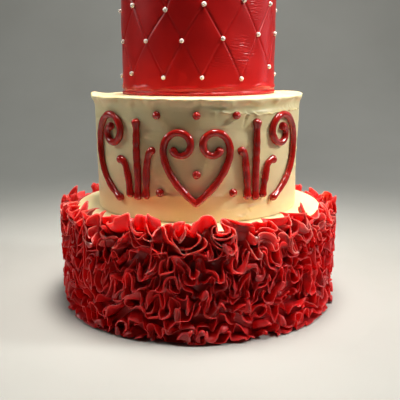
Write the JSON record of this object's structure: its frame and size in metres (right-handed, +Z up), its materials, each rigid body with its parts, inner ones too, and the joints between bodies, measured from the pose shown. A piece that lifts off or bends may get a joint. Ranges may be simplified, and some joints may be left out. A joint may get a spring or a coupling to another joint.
{
  "type": "tiered cake",
  "caption": "Round tiered celebration cake: ruffled red bottom tier, smooth cream middle tier with piped scrollwork, quilted red top tier with sugar pearls.",
  "frame": {"origin": "centre of the bottom tier's underside, on the surface the cake stands on", "axes": "+Z up the cake's axis; the piped front faces -Y; +X to the right seen from the front"},
  "size_m": [0.2948, 0.2934, 0.3107],
  "materials": {
    "cream_coat": "smooth butter icing with faint palette-knife marks",
    "quilted_red_coat": "satin sugar paste pressed into diamonds, with pale pearls",
    "ruffle_paste": "thin sugar-paste ruffles",
    "piping_gel": "glossy piped icing"
  },
  "bodies": {
    "root": {"tier_bottom": "cream_coat", "tier_middle": "cream_coat", "tier_top": "quilted_red_coat", "ruffles": "ruffle_paste", "piping_heart": "piping_gel", "piping_scroll_right": "piping_gel", "piping_scroll_left": "piping_gel", "piping_stem_right": "piping_gel", "piping_stem_left": "piping_gel", "piping_leaf_in_right": "piping_gel", "piping_leaf_in_left": "piping_gel", "piping_leaf_out_right": "piping_gel", "piping_leaf_out_left": "piping_gel", "piping_dot_top": "piping_gel", "piping_dot_upper_right": "piping_gel", "piping_dot_upper_left": "piping_gel", "piping_dot_lower_right": "piping_gel", "piping_dot_lower_left": "piping_gel", "piping_dot_inner": "piping_gel"}
  },
  "joints": []
}
